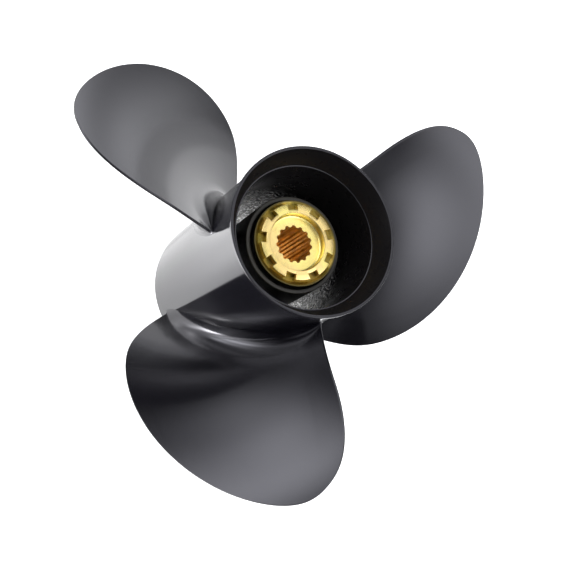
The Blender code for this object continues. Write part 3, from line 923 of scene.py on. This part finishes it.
class PROPELLER_OT_sleeve(PieceMaker, bpy.types.Operator):
    """Turn the brass sleeve, cut the notches of its head and shape the splined bore"""

    bl_idname = "propeller.sleeve"
    bl_label = "Splined sleeve"

    def execute(self, context):
        sizes = context.scene.propeller_sleeve
        colours = context.scene.propeller_finishes
        bm = castellated_ring(sizes)
        rim = sizes.recess_radius + sizes.recess_edge
        floor = sizes.head_aft - sizes.recess_depth
        neck_front = context.scene.propeller_core.bush_aft + sizes.neck_gap
        mouth = sizes.spline_major + sizes.spline_mouth
        corners = [
            (rim, sizes.head_aft, 0.0),
            (sizes.recess_radius, sizes.head_aft - sizes.recess_edge, 0.0),
            (sizes.recess_radius, floor, sizes.recess_fillet),
            (mouth, floor, 0.0),
            (sizes.spline_major, floor - sizes.spline_mouth, 0.0),
            (sizes.spline_major, sizes.front + sizes.spline_mouth, 0.0),
            (mouth, sizes.front, 0.0),
            (sizes.radius, sizes.front, sizes.front_edge),
            (sizes.radius, neck_front, 0.0),
            (sizes.neck_radius, neck_front, sizes.neck_edge),
            (sizes.neck_radius, sizes.head_aft - sizes.head_thickness, 0.0),
        ]
        body = turned(rounded(corners, 8), SLEEVE_COLUMNS, closed=False)
        teeth = [vert for vert in body.verts if vert.co.xy.length < mouth + NEAR]
        for vert in teeth:
            bend = math.atan2(vert.co.y, vert.co.x)
            wanted = spline_radius(sizes, bend + sizes.notch_phase)
            if vert.co.xy.length > mouth - NEAR:
                wanted += sizes.spline_mouth
            vert.co.xy *= wanted / vert.co.xy.length
        for face in body.faces:
            face.material_index = int(face.calc_center_median().xy.length < mouth and face.normal.z < 0.9)
        loose = bpy.data.meshes.new("sleeve_body")
        body.to_mesh(loose)
        body.free()
        bm.from_mesh(loose)
        bpy.data.meshes.remove(loose)
        bmesh.ops.remove_doubles(bm, verts=bm.verts, dist=NEAR)
        turn_about_shaft(bm, sizes.notch_phase)
        materials = [turned_brass("turned_brass", colours.brass), broached_bore("broached_bore", colours.bore)]
        add_piece(context, "brass_sleeve", bm, materials, ["splined_sleeve"])
        return {"FINISHED"}


class PROPELLER_OT_plate(PieceMaker, bpy.types.Operator):
    """Turn the end plate under the sleeve's head, with its raised edge"""

    bl_idname = "propeller.plate"
    bl_label = "End plate"

    def execute(self, context):
        sizes = context.scene.propeller_sleeve
        top = sizes.head_aft - sizes.head_thickness - sizes.plate_gap
        bottom = top - sizes.plate_thickness
        hole = sizes.neck_radius + sizes.plate_hole_gap
        corners = [
            (sizes.plate_radius, top + sizes.plate_rim, 0.0003),
            (sizes.plate_radius, bottom + sizes.plate_rim, 0.0003),
            (sizes.plate_flat, bottom, 0.0006),
            (hole, bottom, 0.0),
            (hole, top, 0.0),
            (sizes.plate_flat, top, 0.0012),
            (sizes.plate_radius - sizes.plate_rim_width, top + sizes.plate_rim, 0.0003),
        ]
        material = passivated_plating("passivated_plating", context.scene.propeller_finishes.plate)
        bm = turned(rounded(corners, 4))
        add_piece(context, "dished_plate", bm, [material], ["end_plate"])
        return {"FINISHED"}


class PROPELLER_OT_studio(PieceMaker, bpy.types.Operator):
    """Set the pale floor, the light pad under the hub, the soft lights and the camera"""

    bl_idname = "propeller.studio"
    bl_label = "Studio"

    def add_stage(self, context, name, bm, material):
        made = add_object(context, name, bm, [material])

    def light_up(self, scene, studio):
        """Surrounds the propeller with soft lights, each one a bright patch of sky that fades outwards. Below the
        horizon the sky is as pale as the floor, so the floor seems to go on past its edge."""
        world = bpy.data.worlds.new("studio_light")
        sky = Nodes(world)
        way = sky.node("ShaderNodeTexCoord", output="Generated")
        total = studio.sky_strength
        for width, lights in SOFT_LIGHTS.items():
            steepness = math.log(2.0) / (1.0 - math.cos(math.radians(width)))
            for degrees, rise, brightness in lights:
                bend, tilt = math.radians(degrees), math.radians(rise)
                middle = (math.cos(bend) * math.cos(tilt), math.sin(bend) * math.cos(tilt), math.sin(tilt))
                near = sky.node("ShaderNodeVectorMath", {"operation": "DOT_PRODUCT"}, {0: way, 1: middle}, "Value")
                total = ((near - 1.0) * steepness).math("EXPONENT") * brightness + total
        climb = sky.node("ShaderNodeSeparateXYZ", None, {0: way}, "Z")
        total = climb.ramp(-0.020, -0.030) * studio.ground_glow + total
        inputs = {0: tuple(studio.sky_colour)[:3], "Scale": total}
        light = sky.node("ShaderNodeVectorMath", {"operation": "SCALE"}, inputs)
        shader = sky.node("ShaderNodeBackground", None, {"Color": light, "Strength": 1.0})
        sky.node("ShaderNodeOutputWorld", None, {"Surface": shader})
        scene.world = world

    def execute(self, context):
        studio = context.scene.propeller_studio
        bm = bmesh.new()
        bmesh.ops.create_grid(bm, x_segments=1, y_segments=1, size=studio.floor_size / 2.0)
        bmesh.ops.translate(bm, verts=bm.verts, vec=(0.0, 0.0, -studio.floor_drop))
        shade = studio.floor_colour
        material = floor_finish("pale_floor", shade, studio.field_glow, studio.floor_glow, FLOOR_SPOTS)
        self.add_stage(context, "pale_floor", bm, material)
        bm = bmesh.new()
        bmesh.ops.create_circle(bm, cap_ends=True, segments=96, radius=studio.pad_radius)
        bmesh.ops.translate(bm, verts=bm.verts, vec=(0.0, 0.0, -studio.floor_drop / 2.0))
        material = floor_finish("light_pad", shade, studio.pad_glow, 0.0)
        self.add_stage(context, "light_pad", bm, material)

        self.light_up(context.scene, studio)
        context.scene.view_settings.view_transform = "Standard"

        data = bpy.data.cameras.new("photo_camera")
        data.sensor_width = SENSOR_WIDTH
        data.lens = SENSOR_WIDTH * FOCAL_PIXELS / PHOTO_PIXELS
        data.clip_start = 0.01
        data.clip_end = 20.0
        camera = bpy.data.objects.new("photo_camera", data)
        right = Vector(CAMERA_RIGHT).normalized()
        back = Vector(CAMERA_BACK)
        back = (back - right * back.dot(right)).normalized()
        frame_axes = Matrix((right, back.cross(right), back)).transposed()
        camera.matrix_world = Matrix.Translation(CAMERA_PLACE) @ frame_axes.to_4x4()
        context.scene.collection.objects.link(camera)
        context.scene.camera = camera
        return {"FINISHED"}


OPERATORS = (
    PROPELLER_OT_barrel,
    PROPELLER_OT_blades,
    PROPELLER_OT_core,
    PROPELLER_OT_bush,
    PROPELLER_OT_sleeve,
    PROPELLER_OT_plate,
    PROPELLER_OT_studio,
)


class PROPELLER_PT_panel(bpy.types.Panel):
    """The propeller's pieces, sizes and finishes"""

    bl_idname = "PROPELLER_PT_panel"
    bl_label = "Outboard propeller"
    bl_space_type = "VIEW_3D"
    bl_region_type = "UI"
    bl_category = "Propeller"

    def draw(self, context):
        layout = self.layout
        layout.use_property_split = True
        for operator in OPERATORS:
            layout.operator(operator.bl_idname)
        for name, group in SETTINGS.items():
            box = layout.box()
            box.label(text=group.__name__)
            for field in group.__annotations__:
                box.prop(getattr(context.scene, name), field)


SETTINGS = {
    "propeller_barrel": BarrelSizes,
    "propeller_blades": BladeSizes,
    "propeller_core": CoreSizes,
    "propeller_sleeve": SleeveSizes,
    "propeller_finishes": Finishes,
    "propeller_studio": Studio,
}


def register():
    for cls in (*SETTINGS.values(), *OPERATORS, PROPELLER_PT_panel):
        bpy.utils.register_class(cls)
    for name, group in SETTINGS.items():
        setattr(bpy.types.Scene, name, PointerProperty(type=group))


def unregister():
    for name in SETTINGS:
        delattr(bpy.types.Scene, name)
    for cls in (PROPELLER_PT_panel, *reversed(OPERATORS), *reversed(SETTINGS.values())):
        bpy.utils.unregister_class(cls)


def main():
    register()
    bpy.ops.propeller.barrel()
    bpy.ops.propeller.blades()
    bpy.ops.propeller.core()
    bpy.ops.propeller.bush()
    bpy.ops.propeller.sleeve()
    bpy.ops.propeller.plate()
    bpy.ops.propeller.studio()


if __name__ == "__main__":
    main()
